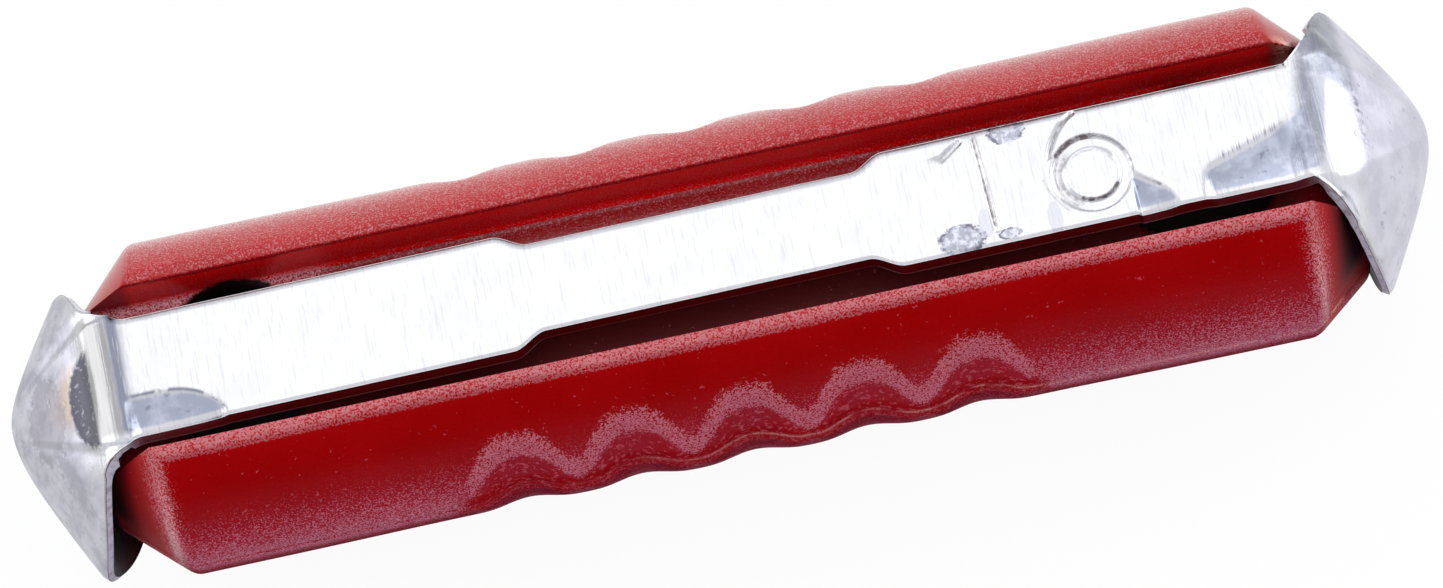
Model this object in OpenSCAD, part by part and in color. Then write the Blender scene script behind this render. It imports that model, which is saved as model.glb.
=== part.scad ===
// Ceramic continental fuse, 6 x 25 mm: a grooved insulating body and a one-piece fuse element.
// Millimetres. X runs along the fuse, Z points up through the fuse strip, Y is across.
// The origin is under the middle of the fuse, on the plane that the round body lies on.

/* [Overall] */
// Length over the tips of the two contact caps
fuse_l = 25; // [24:0.1:27]

/* [Ceramic body] */
// Diameter of the round body
body_d = 5.84; // [5.6:0.02:6.2]
// Length of each tapered end
taper_l = 1.1; // [0.8:0.02:1.2]
// Slope of the tapered ends, measured from the axis
taper_angle = 45; // [38:1:50]
// Height of the flat rims above the axis of the body
rim_z = 2.38; // [2.3:0.02:2.6]
// Clearance between the body's ends and the inside of the caps
seat_gap = 0.1; // [0.05:0.01:0.3]

/* [Groove] */
// Width of the groove that the strip lies in
groove_w = 2.94; // [2.6:0.02:3.2]
// Depth of the groove below the rims
groove_depth = 0.98; // [0.7:0.02:1.2]
// Diameter of the two pockets in the groove floor
pocket_d = 2.9; // [2:0.1:2.9]
// Depth of the pockets below the groove floor
pocket_depth = 1.6; // [0.6:0.1:2.2]
// Distance between the centres of the two pockets
pocket_spacing = 16.8; // [14:0.1:16.8]

/* [Finger grips] */
// Number of scallops on each side
grip_count = 5; // [3:1:7]
// Distance from one scallop to the next
grip_pitch = 2; // [1.6:0.05:2.4]
// Depth of a scallop at the parting line
grip_depth = 0.25; // [0.1:0.01:0.4]
// Lean of the scalloped wall away from the parting line
grip_draft = 9; // [5:0.5:14]

/* [Fuse strip] */
// Thickness of the metal sheet
sheet_t = 0.2; // [0.14:0.01:0.3]
// Width of the strip
strip_w = 2.12; // [1.8:0.02:2.4]
// Width of the neck that melts
neck_w = 1.62; // [1:0.02:1.7]
// Length of the neck between its shoulders
neck_l = 5.6; // [3:0.1:8]
// Length of each shoulder, from the neck's width to the strip's
shoulder_l = 0.6; // [0.3:0.05:1.2]
// How far the neck's middle lies from the middle of the fuse
neck_x = -0.25; // [-1:0.05:1]
// How far the strip's top face lies below the rims
strip_drop = 0.09; // [0.04:0.01:0.2]
// Turn of the whole element in its groove
element_yaw = 0.45; // [-0.6:0.05:0.6]
// Place along the fuse where the turned element is centred in the groove
yaw_x = 4; // [-5:0.5:5]

/* [Contact caps] */
// Diameter of a cap's rim
cap_d = 5.08; // [4.8:0.02:5.3]
// Height of the left cap from its rim to its tip, beside the strip
left_cap_h = 1.95; // [1.85:0.05:2.2]
// Height of the right cap from its rim to its tip, beside the strip
right_cap_h = 2.1; // [1.85:0.05:2.2]
// How much lower a cap is at the sides, a quarter turn and more from the strip
rim_rise = 0.92; // [0.7:0.02:1]
// How far the left cap lies off the strip's centre line
left_cap_y = -0.1; // [-0.15:0.05:0.15]
// Distance from a tip back to the corner where strip and cap meet
corner_depth = 1.85; // [1.7:0.05:2.2]
// Radius of the bend at the left end
left_bend_r = 0.45; // [0.35:0.05:1]
// Radius of the bend at the right end
right_bend_r = 1.2; // [0.4:0.05:1.3]
// How far the left cap's lower rim is pressed back over the body
left_hook = 0.6; // [0:0.05:0.7]
// How far the right cap's lower rim is pressed back over the body
right_hook = 0.05; // [0:0.05:0.7]
// How far the left tip lies off the strip's centre line
left_tip_y = 0.25; // [-0.3:0.05:0.3]
// How far the right tip lies off the strip's centre line
right_tip_y = 0.1; // [-0.3:0.05:0.3]

/* [Hidden] */
$fn = 96;

body_r = body_d / 2;
cap_r = cap_d / 2;
cut_over = 1;
groove_z = rim_z - groove_depth;

// The scallop wave: points in a half turn of the cosine, and height of the wall above the parting line
wave_steps = 8;
grips_l = grip_count * grip_pitch;

// The element's sheet: its top face, the far end of each cap, and the angle of the strip's edges seen
// along the axis, measured from straight up
strip_z = rim_z - strip_drop;
tip_x = fuse_l / 2;
corner_x = tip_x - corner_depth;
strip_a = asin(strip_w / 2 / cap_r);
corner_turn = atan(strip_z / corner_depth);
// The body ends where the floor of its groove comes up to the inside of the cap's sloping face
body_end_x = tip_x - corner_depth * groove_z / strip_z - sheet_t / sin(corner_turn) - seat_gap;
straight_x = body_end_x - taper_l;
end_r = body_r - taper_l * tan(taper_angle);
// Angles over which the free rims leave the strip's edges, a tight fillet at the left and a wide one at
// the right; the angle round from the strip at which a rim stops rising; the angle over which the left
// cap's shift comes in; and roundness of the tips
left_flare = 4;
right_flare = 11;
rim_turn = 100;
shift_turn = 46;
tip_round = 0.32;

// Grid of the sheet: columns across the strip, columns round a cap's free rim, rings along the bend and
// along the cone, rows along each shoulder
strip_cols = 6;
rim_cols = 38;
bend_rings = 5;
cone_rings = 7;
shoulder_rows = 5;

LEFT = 0;
RIGHT = 1;

function bend_r(end) = end == LEFT ? left_bend_r : right_bend_r;
function hook(end) = end == LEFT ? left_hook : right_hook;
function tip_y(end) = end == LEFT ? left_tip_y : right_tip_y;
function cap_y(end) = end == LEFT ? left_cap_y : 0;
function cap_h(end) = end == LEFT ? left_cap_h : right_cap_h;
function flare_a(end) = end == LEFT ? left_flare : right_flare;
function bend_reach(end) = bend_r(end) * tan(corner_turn / 2);
function bend_x(end) = corner_x - bend_reach(end);

function smooth(t) = let (c = min(max(t, 0), 1)) c * c * (3 - 2 * c);

// Body

function wave(x) = grip_depth / 2 * (1 + cos(360 * x / grip_pitch + (grip_count % 2 == 1 ? 0 : 180)));

module moulding_blank() {
    rotate([0, 90, 0])
        rotate_extrude()
            polygon([
                [0, -body_end_x],
                [end_r, -body_end_x],
                [body_r, -straight_x],
                [body_r, straight_x],
                [end_r, body_end_x],
                [0, body_end_x]
            ]);
}

module over_rims() {
    translate([-fuse_l / 2, -body_d, rim_z])
        cube([fuse_l, 2 * body_d, body_r]);
}

module strip_groove() {
    translate([-fuse_l / 2, -groove_w / 2, groove_z])
        cube([fuse_l, groove_w, groove_depth + cut_over]);
}

module floor_pocket() {
    translate([0, 0, groove_z - pocket_depth])
        cylinder(d = pocket_d, h = pocket_depth + groove_depth / 2);
}

// Cuts one side's wave above the parting line; its wall leans in as it rises, to draw from the mould
module grip_cutter() {
    steps = grip_count * 2 * wave_steps;
    edge = [for (i = [0:steps]) let (x = (i / steps - 0.5) * grips_l) [x, -wave(x)]];
    translate([0, body_r, 0])
        rotate([grip_draft, 0, 0])
            linear_extrude(height = body_r)
                polygon(concat([[-grips_l / 2, cut_over]], edge, [[grips_l / 2, cut_over]]));
}

module fuse_body() {
    color("firebrick")
        translate([0, 0, body_r])
            difference() {
                moulding_blank();
                over_rims();
                strip_groove();
                for (x = [-pocket_spacing / 2, pocket_spacing / 2])
                    translate([x, 0, 0])
                        floor_pocket();
                for (side = [0, 1])
                    for (half = [0, 1])
                        mirror([0, side, 0])
                            mirror([0, 0, half])
                                grip_cutter();
            }
}

// Element: a grid of points on the sheet's outer face. On a cap, a point is named by its angle round the
// axis and by how far it lies along its line from the outer edge, over the bend, to the tip.

function from_top(angle) = min(angle, 360 - angle);
function opened(end, angle) = from_top(angle) <= strip_a ? 0
    : 1 - exp((strip_a - from_top(angle)) / flare_a(end));
function ring_y(end, angle) = cap_r * sin(angle)
    + cap_y(end) * smooth((from_top(angle) - strip_a) / shift_turn);
function ring_z(end, angle) = from_top(angle) <= strip_a ? strip_z
    : cap_r * cos(angle) + (strip_z - cap_r * cos(strip_a)) * (1 - opened(end, angle));
// The rim's line rises away from the strip and is pressed back below the body
function rim_x(end, angle) = tip_x - cap_h(end) + rim_rise * min(from_top(angle) / rim_turn, 1)
    - hook(end) * pow(min(cos(angle), 0), 2);

// Outer edge: straight across the strip where the bend starts, then round the free rim
function edge_pt(end, angle) =
    [bend_x(end) + (rim_x(end, angle) - bend_x(end)) * opened(end, angle),
     ring_y(end, angle), ring_z(end, angle)];
function corner_pt(end, angle) = let (e = edge_pt(end, angle)) [max(corner_x, e.x), e.y, e.z];
function tip_pt(end) = [tip_x, tip_y(end), 0];

// Straight line from the corner to the tip, with the tip rounded as a hyperbola
function cone_pt(end, corner, q) =
    let (left = 1 - q,
         round_left = (norm([left, tip_round]) - tip_round) / (norm([1, tip_round]) - tip_round),
         tip = tip_pt(end))
    [tip.x + (corner.x - tip.x) * round_left, tip.y + (corner.y - tip.y) * left, corner.z * left];
function bend_pt(from, corner, to, v) = pow(1 - v, 2) * from + 2 * v * (1 - v) * corner + v * v * to;

function cap_pt(end, along, angle) =
    let (edge = edge_pt(end, angle),
         corner = corner_pt(end, angle),
         reach = corner.x - edge.x,
         slope_l = norm(tip_pt(end) - corner),
         run = along * (reach + slope_l))
    run < 2 * reach ? bend_pt(edge, corner, cone_pt(end, corner, reach / slope_l), run / 2 / reach)
    : cone_pt(end, corner, (run - reach) / slope_l);

function unit(v) = v / norm(v);
function cap_normal(end, along, angle) =
    let (d_along = cap_pt(end, min(along + 0.01, 0.999), angle) - cap_pt(end, max(along - 0.01, 0), angle),
         d_angle = cap_pt(end, along, angle + 1) - cap_pt(end, along, angle - 1))
    unit(cross(d_along, d_angle));

// Seen from the middle, the left end is the mirror image of the right end
function side_x(end) = end == LEFT ? -1 : 1;
function placed(end, p) = [side_x(end) * p.x, p.y, p.z];

strip_angles = [for (i = [0:strip_cols]) asin(strip_w * (i / strip_cols - 0.5) / cap_r)];
rim_angles = [for (i = [1:rim_cols - 1]) strip_a + (360 - 2 * strip_a) * i / rim_cols];
cap_angles = [for (a = concat(strip_angles, rim_angles)) a < 0 ? a + 360 : a];
cap_cols = len(cap_angles);

// Rings lie close together over the bend, then evenly up to the tip, which is a single point
function bend_share(end) = 2 * bend_reach(end) / (bend_reach(end) + norm([corner_depth, strip_z]));
function ring_places(end) = concat(
    [for (i = [0:bend_rings]) bend_share(end) * i / bend_rings],
    [for (i = [1:cone_rings - 1]) bend_share(end) + (1 - bend_share(end)) * i / cone_rings]);
cap_rings = bend_rings + cone_rings;

function cap_face(end, depth) = concat(
    [for (p = ring_places(end)) for (a = cap_angles)
        placed(end, cap_pt(end, p, a) - depth * cap_normal(end, p, a))],
    [placed(end, tip_pt(end) - [depth, 0, 0])]);

// Half width of the strip: a smooth step at each end of the neck
function half_width(x) =
    neck_w / 2 + (strip_w - neck_w) / 2 * smooth((abs(x - neck_x) - neck_l / 2) / shoulder_l);

function shoulder_xs(side) = [for (i = [0:shoulder_rows])
    neck_x + side * (neck_l / 2 + shoulder_l * (side > 0 ? i : shoulder_rows - i) / shoulder_rows)];
row_xs = concat(shoulder_xs(-1), shoulder_xs(1));
rows = len(row_xs);

function strip_face(depth) = [for (x = row_xs) for (i = [0:strip_cols])
    [x, 2 * half_width(x) * (i / strip_cols - 0.5), strip_z - depth]];

// Points of one face of the sheet: left cap, right cap, strip rows
cap_pts = cap_rings * cap_cols + 1;
face_pts = 2 * cap_pts + rows * (strip_cols + 1);
function sheet_face(depth) = concat(cap_face(LEFT, depth), cap_face(RIGHT, depth), strip_face(depth));

function cap_id(end, ring, col) = end * cap_pts + ring * cap_cols + col % cap_cols;
function tip_id(end) = end * cap_pts + cap_pts - 1;
// Row 0 is the left cap's outer edge and the last row is the right cap's
function row_id(row, col) = row == 0 ? cap_id(LEFT, 0, col)
    : row == rows + 1 ? cap_id(RIGHT, 0, col)
    : 2 * cap_pts + (row - 1) * (strip_cols + 1) + col;

function flipped(faces) = [for (f = faces) [f[2], f[1], f[0]]];
function lowered(faces) = [for (f = faces) [for (i = f) i + face_pts]];
function split(a, b, c, d) = [[a, b, c], [a, c, d]];

function cap_faces(end) = concat(
    [for (r = [0:cap_rings - 2]) for (c = [0:cap_cols - 1])
        each split(cap_id(end, r, c), cap_id(end, r + 1, c),
            cap_id(end, r + 1, c + 1), cap_id(end, r, c + 1))],
    [for (c = [0:cap_cols - 1])
        [cap_id(end, cap_rings - 1, c), tip_id(end), cap_id(end, cap_rings - 1, c + 1)]]);
strip_faces = [for (r = [0:rows]) for (c = [0:strip_cols - 1])
    each split(row_id(r, c), row_id(r, c + 1), row_id(r + 1, c + 1), row_id(r + 1, c))];
outer_faces = concat(cap_faces(LEFT), flipped(cap_faces(RIGHT)), strip_faces);

// Cut edge of the sheet: round each free rim, then along both sides of the strip
function rim_wall(end) = [for (c = [strip_cols:cap_cols - 1])
    each split(cap_id(end, 0, c), cap_id(end, 0, c + 1),
        cap_id(end, 0, c + 1) + face_pts, cap_id(end, 0, c) + face_pts)];
function strip_wall(col) = [for (r = [0:rows])
    each split(row_id(r, col), row_id(r + 1, col), row_id(r + 1, col) + face_pts, row_id(r, col) + face_pts)];
edge_faces = concat(rim_wall(LEFT), flipped(rim_wall(RIGHT)),
    strip_wall(0), flipped(strip_wall(strip_cols)));

module fuse_element() {
    color("gainsboro")
        translate([yaw_x, 0, body_r])
            rotate([0, 0, element_yaw])
                translate([-yaw_x, 0, 0])
                    polyhedron(
                        points = concat(sheet_face(0), sheet_face(sheet_t)),
                        faces = concat(outer_faces, flipped(lowered(outer_faces)), edge_faces));
}

fuse_body();
fuse_element();
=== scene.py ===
"""Ceramic continental fuse: a pressed red ceramic body and a one-piece fuse element of bright sheet metal.

Shapes are worked out in millimetres in the frame's axes: X along the fuse, Z up through the strip,
Y across. make_mesh turns them into metres.
"""

import math

import bpy
import numpy as np
from mathutils import Matrix, Vector


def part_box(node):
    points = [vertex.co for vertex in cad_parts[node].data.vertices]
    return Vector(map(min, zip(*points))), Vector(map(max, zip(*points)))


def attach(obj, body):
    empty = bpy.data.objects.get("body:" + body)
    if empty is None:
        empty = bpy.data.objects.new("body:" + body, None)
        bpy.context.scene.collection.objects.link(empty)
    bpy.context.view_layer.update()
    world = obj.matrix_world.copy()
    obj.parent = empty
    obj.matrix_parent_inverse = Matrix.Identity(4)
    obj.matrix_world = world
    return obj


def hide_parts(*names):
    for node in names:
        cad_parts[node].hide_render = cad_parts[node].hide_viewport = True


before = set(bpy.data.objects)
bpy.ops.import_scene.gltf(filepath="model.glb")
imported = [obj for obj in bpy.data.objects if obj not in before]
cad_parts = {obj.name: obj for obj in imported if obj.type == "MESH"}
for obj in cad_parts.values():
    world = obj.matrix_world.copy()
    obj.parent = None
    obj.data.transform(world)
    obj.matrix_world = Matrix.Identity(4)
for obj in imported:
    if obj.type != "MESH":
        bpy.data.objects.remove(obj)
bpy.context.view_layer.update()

MM = 0.001
BODY_LOW, BODY_HIGH = [np.array(corner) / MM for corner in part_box("fuse_body")]
ELEMENT_LOW, ELEMENT_HIGH = [np.array(corner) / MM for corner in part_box("fuse_element")]

# Body: sizes that follow from the frame
BODY_R = (BODY_HIGH[1] - BODY_LOW[1]) / 2
AXIS_Z = BODY_LOW[2] + BODY_R
BODY_END_X = BODY_HIGH[0]
RIM_Z = BODY_HIGH[2] - AXIS_Z
STRAIGHT_X = {-1: 9.87, 1: 9.92}

# Groove and pockets
GROOVE_HALF = 1.47
GROOVE_Z = RIM_Z - 0.98
POCKET_R = 1.45
POCKET_X = 8.4
POCKET_DEPTH = 1.6

# Finger grips
GRIP_COUNT = 5
GRIP_PITCH = 2.0
GRIP_DEPTH = 0.25
GRIP_HALF_L = GRIP_COUNT * GRIP_PITCH / 2
GRIP_LEAN = math.tan(math.radians(9))

# Element: the sheet, the strip and its neck
SHEET_T = 0.2
STRIP_Z = ELEMENT_HIGH[2] - AXIS_Z
STRIP_HALF = 1.06
NECK_HALF = 0.81
NECK_HALF_L = 2.8
NECK_X = -0.25
SHOULDER_L = 0.6
ELEMENT_YAW = math.radians(0.45)
YAW_X = 4.0

# Element: the caps
TIP_X = 12.5
CAP_R = 2.54
CORNER_X = {-1: TIP_X - 1.85, 1: TIP_X - 1.7}
TIP_ROUND = 0.32


def smooth_step(t):
    """3t^2 - 2t^3 between 0 and 1, level outside."""
    t = np.clip(t, 0, 1)
    return t * t * (3 - 2 * t)


def soft_min(a, b, width):
    """The smaller of a and b, with their crossing rounded over the given width."""
    share = np.clip(0.5 + 0.5 * (b - a) / width, 0, 1)
    return b * (1 - share) + a * share - width * share * (1 - share)


def bump(t):
    """Bell curve exp(-t^2)."""
    return np.exp(-t * t)


def stretch(*spans):
    """Places along a line: each span (start, end, count) gives count even steps, without its end."""
    return np.concatenate([np.linspace(start, end, count, endpoint=False) for start, end, count in spans])


def make_mesh(name, points, quads, triangles, material, flat=None):
    """A smooth-shaded mesh object from points in millimetres and two index arrays. flat holds a U and a
    V for each point."""
    mesh = bpy.data.meshes.new(name)
    mesh.from_pydata((points * MM).tolist(), [], quads.tolist() + triangles.tolist())
    mesh.polygons.foreach_set("use_smooth", np.ones(len(mesh.polygons), dtype=bool))
    mesh.materials.append(material)
    if flat is not None:
        corner = np.empty(len(mesh.loops), dtype=np.int32)
        mesh.loops.foreach_get("vertex_index", corner)
        mesh.uv_layers.new(name="depth_and_shade").data.foreach_set("uv", flat[corner].ravel())
    mesh.update()
    piece = bpy.data.objects.new(name, mesh)
    bpy.context.scene.collection.objects.link(piece)
    return piece


def grid_quads(ids):
    """Quads between neighbours of a two-dimensional array of point numbers."""
    return np.stack([ids[:-1, :-1], ids[1:, :-1], ids[1:, 1:], ids[:-1, 1:]], axis=-1).reshape(-1, 4)


# Ceramic body

TAPER_ROUND = 0.1
GRIP_ROUND = 0.07
END_ROUND = 0.12
UPPER_SLOPE = 1.0
LOWER_SLOPE = {-1: 0.93, 1: 0.77}
WAIST = 0.025
FLASH_H = 0.022
FLASH_W = 0.035
RIM_ROUND = 0.16
GROOVE_ROUND = 0.15
FIXED_ANGLE = 0.35
ARCH_TOP = 1.65
ARCH_LOW = 0.9


def body_radius(x, angle):
    """Radius at a place along the body and an angle up from the parting line.

    The smaller, softly joined, of the round body with its tapered ends and the leaning wall of the
    finger grips, whose distance from the axis is a cosine wave along x. A thin flash line stands on
    the parting line, where the two mould halves met.
    """
    far = np.abs(x)
    waist = WAIST * bump((far - GRIP_HALF_L) / 2.2)
    low = np.where(x < 0, LOWER_SLOPE[-1], LOWER_SLOPE[1])
    straight_x = np.where(x < 0, STRAIGHT_X[-1], STRAIGHT_X[1])
    slope = low + (UPPER_SLOPE - low) * smooth_step((angle + 0.12) / 0.24)
    round_r = soft_min(BODY_R - waist, BODY_R - slope * (far - straight_x), TAPER_ROUND)
    wave = GRIP_DEPTH / 2 * (1 + np.cos(2 * np.pi * x / GRIP_PITCH))
    past = np.maximum(far - GRIP_HALF_L, 0)
    wave = np.where(past > 0, -0.9 * past * past, wave)
    wall = np.cos(angle) + np.maximum(np.abs(np.sin(angle)) - 0.12, 0) * 1.25 * GRIP_LEAN
    wall_r = (BODY_R - wave) / np.maximum(wall, 0.2)
    ripple = 0.6 + 0.4 * np.sin(3.1 * x) * np.sin(7.3 * x + 1)
    flash = FLASH_H * ripple * (0.3 + 0.7 * smooth_step((x + 3) / 4)) * smooth_step((10.2 - far) / 0.4)
    height = BODY_R * np.sin(angle)
    return soft_min(round_r, wall_r, GRIP_ROUND) + (flash - FLASH_H) * bump(height / FLASH_W)


def end_inset(x):
    """How far the section draws in over the rounded edge of the body's end face: a quarter circle."""
    over = np.clip((np.abs(x) - (BODY_END_X - END_ROUND)) / END_ROUND, 0, 1)
    return END_ROUND * (1 - np.sqrt(np.maximum(1 - over * over, 0)))


def along_corner(start, first, second, end, count):
    """Even places along the broken line start-first-second-end, then smoothed along it so that its
    corners are round. Each argument is an array of points, one for each station."""
    knots = np.stack([start, first, second, end], axis=1)
    spans = np.linalg.norm(np.diff(knots, axis=1), axis=2)
    total = spans.sum(axis=1, keepdims=True)
    run = np.linspace(0, 1, count)[None, :] * total
    begun = np.concatenate([np.zeros_like(total), np.cumsum(spans, axis=1)], axis=1)
    line = np.zeros((len(start), count, 2))
    for span in range(3):
        length = np.maximum(spans[:, span:span + 1], 1e-9)
        share = np.clip((run - begun[:, span:span + 1]) / length, 0, 1)
        step = knots[:, span + 1] - knots[:, span]
        line += share[:, :, None] * step[:, None, :]
    line += knots[:, :1]
    index = np.arange(count)
    weight = np.exp(-0.5 * ((index[:, None] - index[None, :]) / 1.3) ** 2)
    weight[0] = index == 0
    weight[-1] = index == count - 1
    ends_fixed = np.minimum(index, count - 1 - index)[:, None]
    weight = np.where(np.abs(index[:, None] - index[None, :]) <= ends_fixed, weight, 0)
    weight /= weight.sum(axis=1, keepdims=True)
    return np.einsum("ij,sjk->sik", weight, line)


def half_section(x):
    """The body's section on its +Y side at each station, from the lowest point, up the round outside,
    over the rim, down the groove's wall and along its floor to the middle, as (y, z) pairs."""
    inset = end_inset(x)
    fixed = np.concatenate([stretch((-math.pi / 2, -0.7, 18), (-0.7, -0.05, 26), (-0.05, 0.05, 12)),
                            np.linspace(0.05, FIXED_ANGLE, 12)])
    top_r = body_radius(x, 0.95) - inset
    half = GROOVE_HALF + inset
    floor_z = GROOVE_Z - inset
    rim_y = np.maximum(np.sqrt(np.maximum(top_r ** 2 - (RIM_Z - inset) ** 2, 0)), half)
    rim_z = np.minimum(RIM_Z - inset, np.sqrt(np.maximum(top_r ** 2 - rim_y ** 2, 0)))
    low = rim_z < floor_z
    rim_z = np.where(low, floor_z, rim_z)
    rim_y = np.where(low, np.sqrt(np.maximum(top_r ** 2 - floor_z ** 2, 0)), rim_y)
    inner_y = np.minimum(half, rim_y)
    turn_angle = np.arctan2(rim_z, rim_y) - RIM_ROUND / top_r
    upper = FIXED_ANGLE + (turn_angle - FIXED_ANGLE)[:, None] * np.linspace(0, 1, 22)[None, 1:]
    angles = np.concatenate([np.repeat(fixed[None, :], len(x), axis=0), upper], axis=1)
    radius = body_radius(x[:, None], angles) - inset[:, None]
    outside = np.stack([radius * np.cos(angles), radius * np.sin(angles)], axis=-1)

    wall_l = rim_z - floor_z
    wall_top = np.stack([inner_y, rim_z - np.minimum(RIM_ROUND, wall_l / 2)], axis=-1)
    rim = along_corner(outside[:, -1], np.stack([rim_y, rim_z], axis=-1),
                       np.stack([inner_y, rim_z], axis=-1), wall_top, 21)[:, 1:]
    corner_l = np.minimum(GROOVE_ROUND, wall_l / 2)
    down = np.linspace(0, 1, 5)[None, 1:]
    wall_z = wall_top[:, 1:] + (floor_z + corner_l - wall_top[:, 1])[:, None] * down
    wall = np.stack([np.repeat(inner_y[:, None], 4, axis=1), wall_z], axis=-1)
    v = np.linspace(0, 1, 7)[None, 1:]
    corner_y = inner_y[:, None] - corner_l[:, None] * v * v
    corner_z = floor_z[:, None] + corner_l[:, None] * (1 - v) ** 2
    corner = np.stack([corner_y, corner_z], axis=-1)
    across = 1 - np.linspace(0, 1, 15)[None, 1:] ** 1.3
    floor_y = (inner_y - corner_l)[:, None] * across
    floor = np.stack([floor_y, np.repeat(floor_z[:, None], 14, axis=1)], axis=-1)
    inside = np.concatenate([corner, floor], axis=1)
    off = np.hypot(np.abs(x)[:, None] - POCKET_X, inside[..., 0])
    inside[..., 1] -= POCKET_DEPTH * smooth_step((POCKET_R - off) / 0.07)
    return np.concatenate([outside, rim, wall, inside], axis=1)


def ceramic_body(material):
    """The pressed body: the section carried along x, closed by a fan of triangles at each end."""
    half = np.concatenate([
        stretch((0, GRIP_HALF_L + 0.4, 92), (GRIP_HALF_L + 0.4, 6.8, 10), (6.8, 7.2, 9), (7.2, 9.5, 22),
                (9.5, 10.3, 18), (10.3, BODY_END_X - END_ROUND, 12)),
        BODY_END_X - END_ROUND + END_ROUND * np.sin(np.linspace(0, math.pi / 2, 6))])
    x = np.concatenate([-half[:0:-1], half])
    right = half_section(x)
    left = right[:, -2:0:-1] * np.array([-1, 1])
    loop = np.concatenate([right, left], axis=1)
    stations, around = loop.shape[:2]
    points = np.concatenate([np.broadcast_to(x[:, None, None], (stations, around, 1)), loop], axis=2)
    points = points.reshape(-1, 3)
    centres = np.array([[x[0], 0, -0.4], [x[-1], 0, -0.4]])
    points = np.concatenate([points, centres]) + np.array([0, 0, AXIS_Z])
    ids = np.arange(stations * around).reshape(stations, around)
    ids = np.concatenate([ids, ids[:, :1]], axis=1)
    quads = grid_quads(ids)[:, ::-1]
    first, last = stations * around, stations * around + 1
    near = np.stack([ids[0, 1:], ids[0, :-1], np.full(around, first)], axis=-1)
    far = np.stack([ids[-1, :-1], ids[-1, 1:], np.full(around, last)], axis=-1)
    return make_mesh("fuse_body_pressed", points, quads, np.concatenate([near, far])[:, ::-1], material)


# Fuse element: blank, bends, caps, dents and stamped numerals

LEFT, RIGHT = -1, 1
BEND_R = {LEFT: 0.7, RIGHT: 1.2}
RIM_X = {LEFT: 10.552, RIGHT: 10.404}
RIM_RISE = 0.525
RIM_TURN = math.radians(100)
RIM_TILT = {LEFT: 0.04, RIGHT: 0.13}
HOOK = {LEFT: 0.75, RIGHT: 0.05}
FLARE = {LEFT: math.radians(4), RIGHT: math.radians(11)}
END_HALF = {LEFT: 1.176, RIGHT: 1.07}
FLARE_START = {LEFT: 10.0, RIGHT: 9.85}
TIP_Y = {LEFT: 0.25, RIGHT: 0.1}
CAP_SHIFT = {LEFT: -0.1, RIGHT: 0.0}
RING_AT = (6.55, -0.16)
TAIL_AT = (7.2, -0.14)
STAMP_DEPTH = 0.04
STAMP_WALL = 0.05
CUT_LEAN = 0.09
RIM_LEAN = 0.15


def bend_x(end):
    """Where the bend starts: the corner less the reach of a fillet of the bend's radius."""
    return CORNER_X[end] - BEND_R[end] * math.tan(math.atan2(STRIP_Z, TIP_X - CORNER_X[end]) / 2)


def strip_angle(end):
    """Angle from the middle of the strip to its edge where it meets the cap."""
    return math.asin(END_HALF[end] / CAP_R)


def rim_x(end, turn, angle):
    """Where the cap's open edge lies at an angle from the strip: a line that rises to the far side,
    less a hook under the body, less an exponential fillet into the strip's edge."""
    far = RIM_X[end] + RIM_RISE * soft_min(turn, RIM_TURN, 0.4) - HOOK[end] * np.minimum(np.cos(turn), 0) ** 2
    far = far + RIM_TILT[end] * np.maximum(np.sin(angle), 0) * smooth_step(turn - strip_angle(end))
    near = RIM_X[end] + RIM_RISE * strip_angle(end) - bend_x(end)
    return np.maximum(far - near * np.exp(-np.maximum(turn - strip_angle(end), 0) / FLARE[end]), bend_x(end))


def cap_points(end, along, angle):
    """Points of a cap's outer face. angle goes round the axis from the strip's middle, along from the
    outer edge (0), over the bend, to the tip (1).

    Each line runs from the outer edge to a corner ring and from there straight to the tip. The corner
    is a parabola of equal legs, and the tip is rounded as a hyperbola.
    """
    turn = np.abs((angle + np.pi) % (2 * np.pi) - np.pi)
    opened = smooth_step((turn - strip_angle(end)) / 0.8)
    edge_x = np.where(turn > strip_angle(end), rim_x(end, turn, angle), bend_x(end))
    ring_y = CAP_R * np.sin(angle) + CAP_SHIFT[end] * opened
    ring_z = soft_min(STRIP_Z + 0 * angle, CAP_R * np.cos(turn), 0.02)
    corner_x = np.maximum(CORNER_X[end], edge_x)
    reach = corner_x - edge_x
    tip = np.array([TIP_X, TIP_Y[end], 0.0])
    slope_l = np.sqrt((tip[0] - corner_x) ** 2 + (tip[1] - ring_y) ** 2 + ring_z ** 2)
    run = along * (reach + slope_l)

    def cone(q):
        left = 1 - q
        hyper = (np.sqrt(left ** 2 + TIP_ROUND ** 2) - TIP_ROUND) / (math.hypot(1, TIP_ROUND) - TIP_ROUND)
        return np.stack([tip[0] + (corner_x - tip[0]) * hyper, tip[1] + (ring_y - tip[1]) * left,
                         ring_z * left], axis=-1)

    edge = np.stack(np.broadcast_arrays(edge_x, ring_y, ring_z), axis=-1)
    corner = np.stack(np.broadcast_arrays(corner_x, ring_y, ring_z), axis=-1)
    v = np.clip(run / np.maximum(2 * reach, 1e-9), 0, 1)[..., None]
    bent = (1 - v) ** 2 * edge + 2 * v * (1 - v) * corner + v ** 2 * cone(reach / slope_l)
    return np.where((run < 2 * reach)[..., None], bent, cone((run - reach) / slope_l))


def cap_normals(end, along, angle):
    """Unit normals by differences along both grid directions, outwards."""
    step = 0.004
    ahead = cap_points(end, np.clip(along + step, 0, 0.9999), angle)
    behind = cap_points(end, np.clip(along - step, 0, 0.9999), angle)
    wide = cap_points(end, np.minimum(along, 0.9999), angle + 0.01)
    narrow = cap_points(end, np.minimum(along, 0.9999), angle - 0.01)
    normal = np.cross(ahead - behind, wide - narrow)
    return normal / np.maximum(np.linalg.norm(normal, axis=-1, keepdims=True), 1e-12)


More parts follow.
